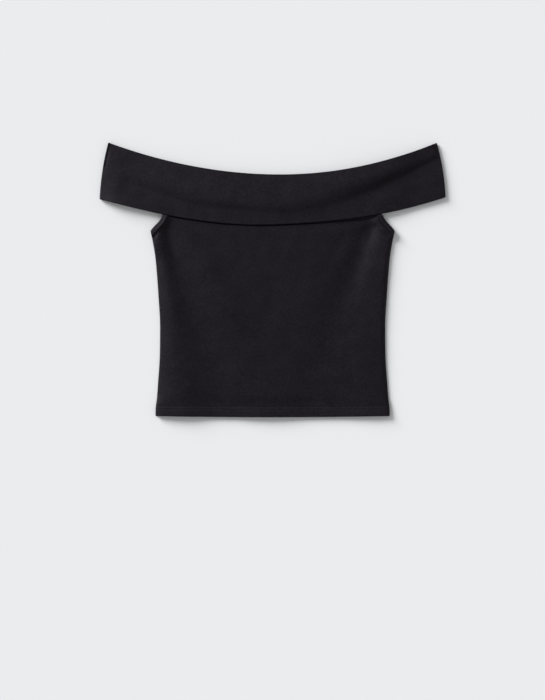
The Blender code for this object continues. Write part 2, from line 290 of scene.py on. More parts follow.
BACK_CREASES = (
    Crease(-150, 60, -110, -90, 8, 0.6), Crease(140, 62, 92, -120, 9, 0.7),
    Crease(-40, 40, -64, -60, 8, 0.45), Crease(36, -40, 10, -170, 11, 0.5),
    Crease(-120, -110, -138, -190, 8, 0.45), Crease(120, -140, 140, -196, 7, 0.4),
)
BAND_CREASES = (
    Crease(-262, 150, -200, 132, 4.5, 0.35), Crease(-250, 190, -205, 178, 5, -0.3),
    Crease(-190, 150, -110, 124, 6, -0.35), Crease(-120, 150, -40, 140, 7, 0.25),
    Crease(60, 150, 130, 162, 7, 0.25), Crease(215, 150, 266, 158, 5, 0.35),
    Crease(190, 128, 240, 142, 5, -0.3), Crease(150, 118, 214, 138, 6, 0.3),
    Crease(-252, 210, -240, 140, 13, 1.2),
)


def long_folds(x, y):
    """Sum of long folds: each is a bell across a line that slants by 1 minus a power of
    what is left of its length. Its width and height change evenly along it."""
    total = np.zeros_like(x)
    for fold in FRONT_FOLDS:
        along = np.clip((fold.top_y - y) / (fold.top_y - fold.low_y), 0, 1)
        line = fold.low_x + (fold.top_x - fold.low_x) * (1 - along) ** fold.bend
        spread = fold.top_spread + (fold.low_spread - fold.top_spread) * along
        lift = fold.top_lift + (fold.low_lift - fold.top_lift) * along
        total += lift * bell(x - line, spread)
    return total


def short_creases(x, y, creases):
    """Sum of short creases: each is a bell across a segment, times a smooth rise and fall
    along it, which run from a tenth outside its ends to three tenths inside."""
    total = np.zeros_like(x)
    for crease in creases:
        run = np.array([crease.x1 - crease.x0, crease.y1 - crease.y0], float)
        length = np.hypot(*run)
        run /= length
        along = ((x - crease.x0) * run[0] + (y - crease.y0) * run[1]) / length
        across = (y - crease.y0) * run[0] - (x - crease.x0) * run[1]
        fade = ease(along, *CREASE_FADE_IN) * (1 - ease(along, *CREASE_FADE_OUT))
        total += crease.lift * bell(across, crease.spread) * fade
    return total


print(len(FRONT_FOLDS), "long folds;",
      len(FRONT_CREASES + BACK_CREASES + BAND_CREASES), "short creases")

# %% [markdown]
# ## The cloth's slight unevenness
#
# Even pressed knit isn't a plane: it ripples by a tenth of a millimetre over the width of a
# few fingers. A noise texture in the material could fake that, but then the mesh would be
# flat, so it is a sum of sine waves in the surface itself. The seed makes each run the same.

# %% Ripple
RIPPLE_HEIGHT = 0.09
RIPPLE_WAVES = 18
RIPPLE_LENGTHS = (24, 80)
PANEL_SEED = 3
BAND_SEED = 5


def ripple(x, y, seed):
    """Sum of sine waves, each with its own direction, phase and length."""
    draw = np.random.default_rng(seed)
    ways = draw.uniform(0, np.pi, RIPPLE_WAVES)
    phases = draw.uniform(0, 2 * np.pi, RIPPLE_WAVES)
    lengths = draw.uniform(*RIPPLE_LENGTHS, RIPPLE_WAVES)
    total = np.zeros_like(x)
    for way, phase, length in zip(ways, phases, lengths):
        total += np.sin(2 * np.pi * (x * np.cos(way) + y * np.sin(way)) / length + phase)
    return RIPPLE_HEIGHT * total / np.sqrt(RIPPLE_WAVES / 2)

# %% [markdown]
# ## Height of the body panels
#
# The middle of each panel is one height over each place of the plan. The back panel lies on
# the surface. The front panel lies on it, with some air between them, and climbs over the
# turned-up hem. It dips where it comes out from under the band, and a narrow slot in the dip
# gives the dark line along the band's edge. At the left side seam it stays round, as cloth
# does where it turns under, most of all at the underarm, and a low ridge follows each armhole.
# The hem flares a little to its edge, and its two rows of stitching draw it in.

# %% Panel heights
HEM_FLAT = 1
HEM_RAMP = 20
HEM_CLIMB = 3 * HEM_STEP - PLY_STEP
STITCH_ROWS = (11.4, 15.2)
STITCH_DRAW = 0.15
STITCH_SPREAD = 0.8
HEM_RIDGE = 0.08
HEM_RIDGE_SPREAD = STITCH_SPREAD * 1.5
HEM_FLARE = 1.1
AIR_AT_SEAM = 3.7
AIR_AT_HEM = 3.3
LEAST_AIR = 0.35
PRESSED_ZONE = (-260, -120)
RIGHT_ZONE = (60, 175)
AIR_LOST_RIGHT = 0.5
LEFT_FALL = 30
RIGHT_FALL = 6
SIDE_ROLL = 1.1
SIDE_ROLL_WIDTH = 4.5
SIDE_ROLL_FADE = 30
UNDERARM_ROLL = 3
UNDERARM_ROLL_LEVELS = (30, 60)
Ditch = namedtuple("Ditch", "x depth rise slot")
SEAM_DITCH = (
    Ditch(-174, 0.1, 8, 1.8), Ditch(-160, 0.3, 12, 2.9), Ditch(-105, 0.6, 22, 2.9),
    Ditch(-60, 0.4, 22, 2.9), Ditch(0, 0.4, 20, 2.9), Ditch(50, 0.6, 22, 3.1),
    Ditch(95, 1.1, 20, 3.8), Ditch(130, 1.6, 18, 5.2), Ditch(156, 1.6, 14, 7),
    Ditch(168, 0.6, 10, 4.8), Ditch(176, 0.1, 5, 1.8),
)
DITCH_BRINK = 0.7
DITCH_FLAT = 1
DITCH_FLOOR = 2.8
SLOT_BRINK = 0.35
SLOT_FLAT = 0.8
SLOT_WALL = 1.6
SLOT_END = 4
Ridge = namedtuple("Ridge", "lift inset spread")
LEFT_RIDGE = Ridge(0.8, 6, 2.6)
RIGHT_RIDGE = Ridge(1.1, 11, 4)
RIDGE_END = 6


def side_distance(x, y):
    """Distance in from the side seam, and from its upper end where the armhole begins."""
    below = half_width(np.minimum(y, SIDE[0].y)) - np.abs(x)
    return np.hypot(below, np.clip(y - SIDE[0].y, 0, None))


def stitch_troughs(x, y):
    """Depth of the two narrow bell-shaped troughs where the hem is stitched."""
    above_hem = y - hem_line(x)
    return STITCH_DRAW * sum(bell(above_hem - row, STITCH_SPREAD) for row in STITCH_ROWS)


def hem_relief(x, y):
    """The stitched troughs, with a ridge between them, and an even rise over the whole
    depth of the hem to its edge."""
    above_hem = y - hem_line(x)
    ridge = HEM_RIDGE * bell(above_hem - sum(STITCH_ROWS) / 2, HEM_RIDGE_SPREAD)
    return ridge + HEM_FLARE * np.clip(1 - above_hem / HEM_DEPTH, 0, 1) - stitch_troughs(x, y)


def seam_ditch(x, y):
    """Dip of the panel where it comes out from under the band: it sinks exponentially over
    the brink, stays down for its flat part and comes up again by a smooth rise. A narrower
    slot of the same form lies in it, right under the band's edge."""
    depth, rise, slot = (column(SEAM_DITCH, name, x) for name in Ditch._fields[1:])
    below = np.clip(bow_height(x, BAND_LOWER) - y, 0, None)
    sunk = 1 - np.exp(-below / DITCH_BRINK)
    dip = depth * sunk * (1 - ease(below, DITCH_FLAT, DITCH_FLAT + rise))
    wall = np.minimum(slot - SLOT_FLAT, SLOT_WALL)
    sunk = 1 - np.exp(-below / SLOT_BRINK)
    cut = (DITCH_FLOOR - depth) * sunk * (1 - ease(below, slot - wall, slot))
    return -dip - cut * ease(armhole_distance(x, y) - BINDING_WIDTH, 0.0, SLOT_END)


def armhole_ridge(x, y):
    """Bell-shaped ridge that follows each armhole, and ends at the underarm."""
    gap = armhole_distance(x, y)
    left, right = (ridge.lift * bell(gap - ridge.inset, ridge.spread)
                   for ridge in (LEFT_RIDGE, RIGHT_RIDGE))
    return np.where(x < 0, left, right) * ease(y, SIDE[0].y - RIDGE_END, SIDE[0].y + RIDGE_END)


def front_level(piled):
    """Middle of the bare front panel: one ply up in the open, four in the pile."""
    return LOWEST_PLY + PLY_STEP * (1 + 3 * piled)


def back_level(piled):
    """Middle of the bare back panel: on the surface, one ply up in the pile."""
    return LOWEST_PLY + PLY_STEP * piled


def side_roll(x, y):
    """Round of the left side: a quarter sine up from the seam, then a smooth fall. It is
    higher towards the underarm."""
    from_side = side_distance(x, y)
    roll = np.sin(np.pi / 2 * np.clip(from_side / SIDE_ROLL_WIDTH, 0, 1))
    roll = roll * (1 - ease(from_side, SIDE_ROLL_WIDTH, SIDE_ROLL_FADE)) * (x < 0)
    return roll * (SIDE_ROLL + UNDERARM_ROLL * ease(y, *UNDERARM_ROLL_LEVELS))


def front_height(x, y):
    """Middle of the front panel: its level, three plies up over the hem, plus air, folds,
    side roll, ripple and stitching."""
    piled = pile(x, y)
    over_hem = 1 - ease(y, HEM_TOP + HEM_FLAT, HEM_TOP + HEM_RAMP)
    fall = np.where(x < 0, LEFT_FALL, RIGHT_FALL)
    inside = np.sin(np.pi / 2 * np.clip((half_width(y) - np.abs(x)) / fall, 0, 1))
    air = AIR_AT_HEM + (AIR_AT_SEAM - AIR_AT_HEM) * (y - HEM_TOP) / (SIDE[0].y - HEM_TOP)
    air = air * (1 - over_hem * ease(x, *PRESSED_ZONE))
    air = air * (1 - AIR_LOST_RIGHT * ease(x, *RIGHT_ZONE))
    air = air + (long_folds(x, y) + short_creases(x, y, FRONT_CREASES) + ripple(x, y, PANEL_SEED))
    air = (air + np.sqrt(air ** 2 + LEAST_AIR ** 2)) / 2 * inside
    loose = HEM_CLIMB * over_hem + air + side_roll(x, y)
    dips = seam_ditch(x, y) + hem_relief(x, y) + armhole_ridge(x, y)
    return front_level(piled) + (1 - piled) * loose + dips


def back_height(x, y):
    """Middle of the back panel: its level, with shallow creases that rise off the surface
    and the hem's stitches drawn up."""
    piled = pile(x, y)
    creases = np.clip(short_creases(x, y, BACK_CREASES), 0, None)
    return back_level(piled) + (1 - piled) * creases + stitch_troughs(x, y)

# %% [markdown]
# ## Height of the band
#
# The front band's outer ply stands above everything: it goes over the panels in the middle
# and closes on the back band over the arms. The cut edges over the arms are turned towards
# each other and sewn, so there the two plies bend together and leave only a fine line. The
# left end stands some millimetres off the surface, and its seam ends in a small lip.

# %% Band heights
BAND_END_RADIUS = 2.4
BAND_END_SEAM = 3
BAND_END_GAP = 0.06
BAND_END_LOFT = 0.85
BAND_LOFT_LENGTH = 90
PULL_FADE = 8
EDGE_CLOSING = 0.7
EDGE_CLOSING_RAMP = (ARM_FLAT + 2, ARM_FLAT + 12)
EDGE_LIFT = 0.35
EDGE_LIFT_FADE = 9
EDGE_LIFT_END = (ARM_FLAT - 10, ARM_FLAT)
BAND_AIR = 0.7
NECK_AIR = 2
NECK_AIR_RAMP = (0.4, 1)
END_RISE = 5.8
END_RISE_WIDTH = 30
END_RISE_FADE = 120
END_RISE_POWER = 2.5
END_RISE_BACK = 14
LIP = 1.3
LIP_WIDTH = 2.2
LIP_RADIUS = 0.7
LIP_RAMP = (0.5, 0.62)


def band_share(x, y):
    """Share of the band's depth: 0 at its lower edge and 1 at the neckline."""
    lower = bow_height(x, BAND_LOWER)
    return np.clip((y - lower) / (bow_height(x, NECKLINE) - lower), 0, 1)


def lip_share(x, y):
    """1 along the upper half of the left end, where the seam stands up in a lip."""
    return ease(band_share(x, y), *LIP_RAMP) * (x < 0)


def left_end(x, y, from_end):
    """Rise of the left end: a quarter sine up from the end, a smooth fall inwards and a
    power of what is left of the depth towards the neckline."""
    rise = np.sin(np.pi / 2 * np.clip((from_end - CLOTH / 2) / END_RISE_WIDTH, 0, 1))
    inwards = 1 - ease(from_end, END_RISE_WIDTH, END_RISE_FADE)
    return END_RISE * rise * inwards * (1 - band_share(x, y)) ** END_RISE_POWER * (x < 0)


def left_lip(x, y, from_end):
    """Lip at the upper half of the left end: it falls inwards by a smooth rise."""
    return LIP * lip_share(x, y) * (1 - ease(from_end, LIP_RADIUS, LIP_RADIUS + LIP_WIDTH))


def edge_closing(x, y):
    """1 at the band's sewn lower edge over the arms, falling to 0 along a quarter circle
    within the closing width, and 0 over the body."""
    above = np.clip((y - bow_height(x, BAND_LOWER)) / EDGE_CLOSING, 0, 1)
    over_arm = ease(np.abs(x), *EDGE_CLOSING_RAMP)
    return over_arm * (1 - np.sqrt(1 - (1 - above) ** 2))


def front_band_height(x, y, from_end):
    """Middle of the front band's outer ply: three plies up, five over the panels, plus
    the air at its ends, the pull line, creases and ripple."""
    loft = BAND_END_LOFT * (1 - ease(from_end, BAND_END_RADIUS, BAND_LOFT_LENGTH))
    folds = neck_pull(x, y) + short_creases(x, y, BAND_CREASES) + ripple(x, y, BAND_SEED)
    folds = folds * ease(from_end, BAND_END_RADIUS, PULL_FADE)
    above_edge = np.clip(y - bow_height(x, BAND_LOWER), 0, None)
    over_body = 1 - ease(np.abs(x), *EDGE_LIFT_END)
    ditch = column(SEAM_DITCH, "depth", x)
    lifted = EDGE_LIFT * ditch * over_body * np.exp(-above_edge / EDGE_LIFT_FADE)
    up = band_share(x, y)
    air = BAND_AIR * np.sin(np.pi * up) + NECK_AIR * ease(up, *NECK_AIR_RAMP)
    air = air * (1 - ease(np.abs(x), ARM_FLAT / 2, ARM_RAMP_END))
    closing = PLY_STEP / 2 * edge_closing(x, y)
    height = LOWEST_PLY + PLY_STEP * (3 + 2 * band_pile(x, y)) - closing
    height = height + loft + folds + lifted + air
    return height + left_end(x, y, from_end) + left_lip(x, y, from_end)


def back_band_height(x, y, from_end):
    """Middle of the back band's outer ply: on the surface, and up at its sewn edges, where
    it follows the front one's rise at the left end."""
    above_edge = np.clip(y - bow_height(x, BAND_LOWER), 0, None)
    rise = left_end(x, y, from_end) * (1 - ease(above_edge, 0.0, END_RISE_BACK))
    return LOWEST_PLY + PLY_STEP / 2 * edge_closing(x, y) + rise

# %% [markdown]
# ## From a grid of middle points to a sheet of cloth
#
# Every piece is first a grid of points in the middle of its cloth. Folding it over is a half
# circle of extra rows, then the same rows again, moved in by one step. The sheet gets its
# thickness by moving each point half a ply along its normal, both ways. Solidify could do
# that, but it leaves square edges. Here the ply thins along a quarter circle to its rim, so
# a cut edge is round, and two edges that meet show as a seam.

# %% Folding and thickness
RIM = CLOTH / 2
RIM_STEPS = RIM * (1 - np.cos(np.radians([0, 30, 50, 70, 90])))
THINNEST = 0.05
FOLD_STEPS = 10


def unit(vectors):
    """Each vector divided by its length."""
    return vectors / np.linalg.norm(vectors, axis=-1, keepdims=True)


def surface_normals(grid, end_rise=0):
    """Cross product of the directions along a row and down a column. end_rise is 1 where
    rows rise straight up from their first point and drop to their last, -1 the reverse."""
    along = np.gradient(grid, axis=1)
    if end_rise:
        along[:, 0] = (0, 0, end_rise)
        along[:, -1] = (0, 0, -end_rise)
    return unit(np.cross(along, np.gradient(grid, axis=0)))


def turned_back(outer, normals, depth, inner_rows):
    """A half circle past the last row, then the chosen rows again, moved in by depth."""
    radius = depth[-1] / 2
    onward = unit(np.cross(np.gradient(outer[-1], axis=0), normals[-1]))
    if np.sum(onward * (outer[-1] - outer[-2])) < 0:
        onward = -onward
    centre = outer[-1] - normals[-1] * radius[:, None]
    turn = np.linspace(0, np.pi, FOLD_STEPS + 1)[1:-1, None, None]
    reach = normals[-1] * np.cos(turn) + onward * np.sin(turn)
    inner = (outer - normals * depth[..., None])[inner_rows]
    return np.concatenate([outer, centre + reach * radius[:, None], inner])


def run_lengths(grid, axis):
    """Distance walked along the grid's rows or columns: a running sum of its steps."""
    steps = np.linalg.norm(np.diff(grid, axis=axis), axis=-1)
    pad = [(0, 0), (0, 0)]
    pad[axis] = (1, 0)
    return np.cumsum(np.pad(steps, pad), axis=axis)


def rim_thinning(grid):
    """Share of full thickness: a quarter circle of half a ply's radius at each rim."""
    down = run_lengths(grid, 0)
    along = run_lengths(grid, 1)
    nearest = np.minimum.reduce([down, down[-1:] - down, along, along[:, -1:] - along])
    inward = np.clip(nearest / RIM, 0, 1)
    return np.clip(np.sqrt(1 - (1 - inward) ** 2), THINNEST, 1)


def cloth_sheet(name, strip, way, grain, material, end_rise=0):
    """Make the closed mesh of a sheet from its middle points. grain gives each point's
    place on the flat cloth, in millimetres, and becomes the UV map, in metres."""
    rows, columns = strip.shape[:2]
    normals = surface_normals(strip, end_rise)
    out = way * normals * CLOTH / 2 * rim_thinning(strip)[..., None]
    points = np.concatenate([(strip + out).reshape(-1, 3), (strip - out).reshape(-1, 3)])
    index = np.arange(rows * columns).reshape(rows, columns)
    corners = [index[:-1, :-1], index[:-1, 1:], index[1:, 1:], index[1:, :-1]]
    top = np.stack(corners, axis=-1).reshape(-1, 4)
    under = top[:, ::-1] + rows * columns
    rim = np.concatenate([index[0, :-1], index[:-1, -1], index[-1, :0:-1], index[:0:-1, 0]])
    after = np.roll(rim, -1)
    edge = np.stack([after, rim, rim + rows * columns, after + rows * columns], axis=-1)
    faces = np.concatenate([top, under, edge])
    if way < 0:
        faces = faces[:, ::-1]
    place = np.tile(np.stack(grain, axis=-1).reshape(-1, 2) * MM, (2, 1))
    sheet = mesh_piece(name, points, faces, place)
    sheet.data.materials.append(material)
    print(f"{name}: {len(faces) * 2} triangles, cloth area {grid_area(strip):.4f} square metres")
    return sheet


def grid_area(grid):
    """Area of the grid's cells in square metres: half the cross product of diagonals."""
    first = grid[1:, 1:] - grid[:-1, :-1]
    second = grid[1:, :-1] - grid[:-1, 1:]
    return float(np.linalg.norm(np.cross(first, second), axis=-1).sum() / 2 * MM * MM)


def mesh_piece(name, points, faces, place=None):
    """Put arrays of points and quads into a new smooth mesh object at the origin."""
    mesh = bpy.data.meshes.new(name)
    mesh.vertices.add(len(points))
    mesh.vertices.foreach_set("co", (points * MM).astype(np.float32).ravel())
    mesh.loops.add(faces.size)
    mesh.loops.foreach_set("vertex_index", faces.astype(np.int32).ravel())
    mesh.polygons.add(len(faces))
    starts = np.arange(0, faces.size, faces.shape[1], dtype=np.int32)
    mesh.polygons.foreach_set("loop_start", starts)
    mesh.polygons.foreach_set("loop_total", np.full_like(starts, faces.shape[1]))
    mesh.update(calc_edges=True)
    if place is not None:
        layer = mesh.uv_layers.new(name="grain")
        layer.data.foreach_set("uv", place[faces.ravel()].astype(np.float32).ravel())
    mesh.shade_smooth()
    mesh.validate()
    piece = bpy.data.objects.new(name, mesh)
    bpy.context.scene.collection.objects.link(piece)
    return piece

# %% [markdown]
# ## The knit
#
# Double knit has columns of small V-shaped stitches, here just under a millimetre wide. Up
# close they show as fine ribs, and from a step away only as a soft, even matt. The pattern
# follows the cloth through the UV map, so it turns with every fold. The dye is nearly black
# with a hint of violet, and it took unevenly: one noise shades patches of a fingertip's width,
# and a finer one gives the mottle of a few millimetres that such cloth has. The stitches' own
# height also lightens the colour on their crests and darkens it in the grooves between them:
# that is a painted highlight and painted shade. A weak, slightly violet gloss stands for the
# haze of fibre ends, where plastic would shine.

# %% Material
WALE = 0.00095
COURSE = 0.0008
STITCH_SLANT = 0.9
STITCH_WAVE = 0.3
DYE = (0.0008, 0.0006, 0.0015, 1.0)
# Light end of the knit's colour: reached by the pale random mottle and by the painted highlight
# on the stitches' crests.
DYE_PALE_MOTTLE_AND_PAINTED_HIGHLIGHT = (0.006, 0.005, 0.0081, 1.0)
GLOSS = 0.19
GLOSS_TINT = (0.96, 0.84, 1.0, 1.0)
Noise = namedtuple("Noise", "scale detail")
FIBRES = Noise(2600, 3)
PATCHES = Noise(60, 3)
HEATHER = Noise(330, 2)
HEATHER_SHARE = 2.85
# How strongly the stitches' height paints the colour: a painted highlight on their crests,
# painted shade in their grooves.
STITCH_PAINTED_SHADE_SHARE = 0.25
SHADE_OFFSET = 1.545
ROUGHNESS = 0.5
ROUGHNESS_SPREAD = 0.1
FIBRE_RELIEF = 0.5
BUMP_STRENGTH = 0.55
BUMP_HEIGHT = 0.00018
BINDING_RELIEF = 0.8


def set_inputs(node, values):
    """Set a node's inputs from a dictionary of their labels and values."""
    for label, value in values.items():
        node.inputs[label].default_value = value


def new_material(name, values):
    """New material with the given shader inputs, with its node tree and its shader."""
    material = bpy.data.materials.new(name)
    material.use_nodes = True
    shader = material.node_tree.nodes["Principled BSDF"]
    set_inputs(shader, values)
    return material, material.node_tree, shader


def maths(tree, operation, first, second=None):
    """Add a Math node and return its output. Inputs are numbers or other outputs."""
    node = tree.nodes.new("ShaderNodeMath")
    node.operation = operation
    for socket, value in zip(node.inputs, (first, second)):
        if isinstance(value, (int, float)):
            socket.default_value = value
        elif value is not None:
            tree.links.new(value, socket)
    return node.outputs[0]


def scaled(tree, value, factor, offset):
    """Add nodes for value times factor plus offset."""
    return maths(tree, "ADD", maths(tree, "MULTIPLY", value, factor), offset)


def noise(tree, coordinate, kind):
    """Add a Noise Texture on the given coordinate and return its factor output."""
    node = tree.nodes.new("ShaderNodeTexNoise")
    set_inputs(node, {"Scale": kind.scale, "Detail": kind.detail})
    tree.links.new(coordinate, node.inputs["Vector"])
    return node.outputs[0]


def two_tone(tree, factor, dark, light):
    """Add a Mix node that goes from the dark colour to the light one."""
    mix = tree.nodes.new("ShaderNodeMix")
    mix.data_type = "RGBA"
    mix.clamp_factor = True
    set_inputs(mix, {"A": dark, "B": light})
    tree.links.new(factor, mix.inputs["Factor"])
    return mix.outputs["Result"]


def knit_relief(tree, grain):
    """Height of the stitches: across a column it is a round rib, 1 minus the squared
    distance from its middle; along it a sine wave, delayed with that distance, draws Vs."""
    parts = tree.nodes.new("ShaderNodeSeparateXYZ")
    tree.links.new(grain, parts.inputs[0])
    wale = maths(tree, "DIVIDE", parts.outputs[0], WALE)
    row = maths(tree, "DIVIDE", parts.outputs[1], COURSE)
    away = maths(tree, "ABSOLUTE", maths(tree, "SUBTRACT", maths(tree, "FRACT", wale), 0.5))
    squared = maths(tree, "POWER", maths(tree, "MULTIPLY", away, 2.0), 2.0)
    rib = maths(tree, "SUBTRACT", 1.0, squared)
    delayed = scaled(tree, away, STITCH_SLANT, row)
    wave = maths(tree, "SINE", maths(tree, "MULTIPLY", delayed, 2 * np.pi))
    return maths(tree, "MULTIPLY", rib, scaled(tree, wave, STITCH_WAVE, 1 - STITCH_WAVE))


def knit_material(name, relief=1.0):
    """Near-black matt double knit: patches and heather vary the dye's tone at random, the
    stitches paint a highlight on their crests and shade in their grooves, and the stitches
    and fibres raise the surface."""
    material, tree, shader = new_material(name, {"Specular IOR Level": GLOSS,
                                                 "Specular Tint": GLOSS_TINT})
    grain = tree.nodes.new("ShaderNodeUVMap")
    grain.uv_map = "grain"
    where = tree.nodes.new("ShaderNodeTexCoord").outputs["Object"]
    stitches = knit_relief(tree, grain.outputs[0])
    fibres, patches, heather = (noise(tree, where, kind) for kind in (FIBRES, PATCHES, HEATHER))
    uneven = maths(tree, "SUBTRACT", scaled(tree, heather, HEATHER_SHARE, patches), SHADE_OFFSET)
    # Painted light and shade: the stitches' crests lighten the colour and their grooves darken
    # it, on top of the random mottle.
    shade = scaled(tree, stitches, STITCH_PAINTED_SHADE_SHARE, uneven)
    tree.links.new(two_tone(tree, shade, DYE, DYE_PALE_MOTTLE_AND_PAINTED_HIGHLIGHT), shader.inputs["Base Color"])
    rough = scaled(tree, fibres, ROUGHNESS_SPREAD, ROUGHNESS)
    tree.links.new(rough, shader.inputs["Roughness"])
    bump = tree.nodes.new("ShaderNodeBump")
    set_inputs(bump, {"Strength": BUMP_STRENGTH * relief, "Distance": BUMP_HEIGHT})
    tree.links.new(scaled(tree, fibres, FIBRE_RELIEF, stitches), bump.inputs["Height"])
    tree.links.new(bump.outputs[0], shader.inputs["Normal"])
    return material


KNIT = knit_material("double_knit")
BINDING_KNIT = knit_material("binding_knit", BINDING_RELIEF)
print("knit:", round(MM / WALE, 2), "columns and", round(MM / COURSE, 2),
      "rows of stitches per millimetre")

# %% [markdown]
# ## The body panels
#
# The panels go in first. Rows run across the body: the top row follows the band's curve, the
# last one the hem's, and those between change evenly from one to the other. They lie close
# together where the stitching draws the hem in. The front panel faces up and the back one
# down, and both have their hems folded towards the inside.

# %% Build the panels
PANEL_SIDE = [1.1, 1.8, 2.6, 3.5, 4.6]
PANEL_HALF = 180
SLOT_ROWS = (105.6, 98.4)
SLOT_STEP = 0.4
PLAIN_END = HEM_TOP + 3.5
STITCHED_ROWS = (HEM_TOP + 3, HEM_TOP - 5)
STITCHED_STEP = 0.45
LAST_ROWS = (HEM_TOP - 5.5, HEM_CORNER + FOLD_REACH)
LAST_STEP = 1.3


def even_steps(start, end, step):
    """Numbers from start to end, evenly spaced by about step."""
    return np.linspace(start, end, max(2, int(round(abs(end - start) / step)) + 1))


def panel_grid(from_side, levels):
    """Plan of a panel: columns are shares of the half width, rows are named by their
    height at the side and bend from the band's curve at the top to the hem's."""
    share = 1 - from_side / from_side[-1]
    share = np.concatenate([-share, share[::-1][1:]])
    levels = levels[:, None]
    x = share * half_width(levels)
    top = bow_height(x, BAND_LOWER) + ALLOWANCE
    bottom = hem_line(x) + FOLD_REACH
    down = (top - levels) / (top - bottom)
    down = down[:, :1] * (1 - share) / 2 + down[:, -1:] * (1 + share) / 2
    return x, top + (bottom - top) * down


def build_panel(name, height, way, across, step):
    """Front or back panel with its hem turned up inside."""
    open_columns = even_steps(PANEL_SIDE[-1] + across, PANEL_HALF, across)
    from_side = np.concatenate([RIM_STEPS, PANEL_SIDE, open_columns])
    armhole = armhole_edge(divisions=4)[:, 1]
    if way > 0:
        slot = even_steps(*SLOT_ROWS, SLOT_STEP)
        armhole = np.concatenate([armhole[armhole > slot[0]], slot, armhole[armhole < slot[-1]]])
    plain = even_steps(armhole[-1], PLAIN_END, step)[1:]
    stitched = even_steps(*STITCHED_ROWS, STITCHED_STEP)
    levels = np.concatenate([armhole, plain, stitched, even_steps(*LAST_ROWS, LAST_STEP)])
    x, y = panel_grid(from_side, levels)
    outer = np.stack([x, y, height(x, y)], axis=-1)
    normals = surface_normals(outer)
    normals *= way * np.sign(normals[..., 2:])
    hem_rows = np.flatnonzero(levels <= HEM_TOP)[::-1]
    inner_rows = np.concatenate([hem_rows[:-1:3], hem_rows[-1:]])
    strip = turned_back(outer, normals, np.full(x.shape, HEM_STEP), inner_rows)
    return cloth_sheet(name, strip, way, (strip[..., 0], run_lengths(strip, 0)), KNIT)


front_panel = build_panel("front_panel_cloth", front_height, way=1, across=1.8, step=1.9)
back_panel = build_panel("back_panel_cloth", back_height, way=-1, across=2.8, step=3.0)

# %% [markdown]
# ## The shoulder band
#
# The band is a strip folded double along the neckline. At each arm its front half rolls down
# and its back half rolls up, and they meet in a seam at half height. The roll is a quarter
# circle, so columns near the ends are spaced by angle.

# %% Build the band
END_ROLL_STEPS = 10
END_FLAT = 3
END_STEP = 0.6
LOW_ROWS = [0.8, 1.2, 1.9, 2.9]
LOW_ROWS_END = 4.2
UPPER_DEPTH = 46
EDGE_SQUEEZE = 0.97
BAND_HALF = BAND_LOWER.right_reach + BAND_LOWER.low_x
NECK_HALF = NECKLINE.right_reach + NECKLINE.low_x


def band_grid(from_end, rows):
    """Plan of the band: columns are distances from its ends, and rows climb from the
    lower edge to just short of the neckline's fold. The ends bulge by a parabola."""
    share = 1 - from_end / BAND_HALF
    share = np.concatenate([-share, share[::-1]])
    low_x, top_x = share * BAND_HALF, share * NECK_HALF
    low_y = bow_height(low_x, BAND_LOWER)
    depth = bow_height(top_x, NECKLINE) - FOLD_REACH - low_y
    fixed, part = np.array(rows).T[..., None]
    raised = fixed + part * (depth - BAND_RAMP_END)
    up = raised / depth
    bulge = BAND_END_BULGE * 4 * up * (1 - up) * share ** 3
    return low_x + (top_x - low_x) * up + bulge, low_y + raised


def build_band(name, height, way, across, step):
    """Front or back half of the band, folded along the neckline."""
    arcs = np.linspace(RIM, BAND_END_RADIUS * np.pi / 2, END_ROLL_STEPS + 1)
    arcs = np.concatenate([RIM_STEPS, arcs[1:]])
    turn = np.pi / 2 - arcs / BAND_END_RADIUS
    rolled = CLOTH / 2 + BAND_END_RADIUS * (1 - np.sin(turn))
    fine = even_steps(rolled[-1], rolled[-1] + END_FLAT, END_STEP)[1:]
    flat = np.concatenate([fine, even_steps(fine[-1] + across, BAND_HALF - across / 2, across)])
    from_end = np.concatenate([rolled, flat])
    upright = np.concatenate([np.cos(turn), np.ones(len(flat))])
    low = np.concatenate([RIM_STEPS, LOW_ROWS, even_steps(LOW_ROWS_END, BAND_RAMP_END, step)])
    upper = even_steps(0, 1, step / UPPER_DEPTH)[1:]
    rows = [(d, 0.0) for d in low] + [(BAND_RAMP_END, p) for p in upper]
    x, y = band_grid(from_end, rows)
    from_end = np.concatenate([from_end, from_end[::-1]])
    upright = np.concatenate([upright, upright[::-1]])
    if way > 0:
        tight = np.sqrt(1 - (1 - np.clip((from_end - CLOTH / 2) / LIP_RADIUS, 0, 1)) ** 2)
        upright = upright + (tight - upright) * lip_share(x, y)
    seam = BAND_END_SEAM + way * BAND_END_GAP / 2
    z = seam + (height(x, y, from_end) - seam) * upright
    outer = np.stack([x, y, z], axis=-1)
    normals = way * surface_normals(outer, way)
    depth = PLY_STEP * (1 + band_pile(x, y) - edge_closing(x, y) * EDGE_SQUEEZE)
    count = len(rows)
    inner_rows = np.concatenate([np.arange(count - 1, len(low), -2), np.arange(len(low), -1, -1)])
    strip = turned_back(outer, normals, depth, inner_rows)
    middle = run_lengths(strip, 1)[count // 2]
    grain = (np.broadcast_to(middle, strip.shape[:2]), run_lengths(strip, 0))
    return cloth_sheet(name, strip, way, grain, KNIT, end_rise=way)


front_band = build_band("front_band_cloth", front_band_height, way=1, across=1.85, step=1.8)
back_band = build_band("back_band_cloth", back_band_height, way=-1, across=3.0, step=3.0)

# %% [markdown]
# ## Armhole bindings
#
# Each armhole edge is wrapped in a narrow strip of the same knit: one ply over the panel, a
# half circle round its edge and one ply under it. A curve with a bevel would give a cord, not
# a flat strip, so the section is carried along the edge as a grid. The stitching sinks a
# shallow groove along its outer ply.

# %% Build the bindings
BINDING_FOLD_STEPS = 12
BINDING_DIVISIONS = 14
BINDING_STITCH_INSET = 1.3
BINDING_LIFT = 0.6
BINDING_STEP = 0.6
BINDING_RIM = 1
BAND_WAY = (-1, -0.2)
BAND_BLEND = (0, 0.2)
SIDE_BLEND = (0.7, 1)


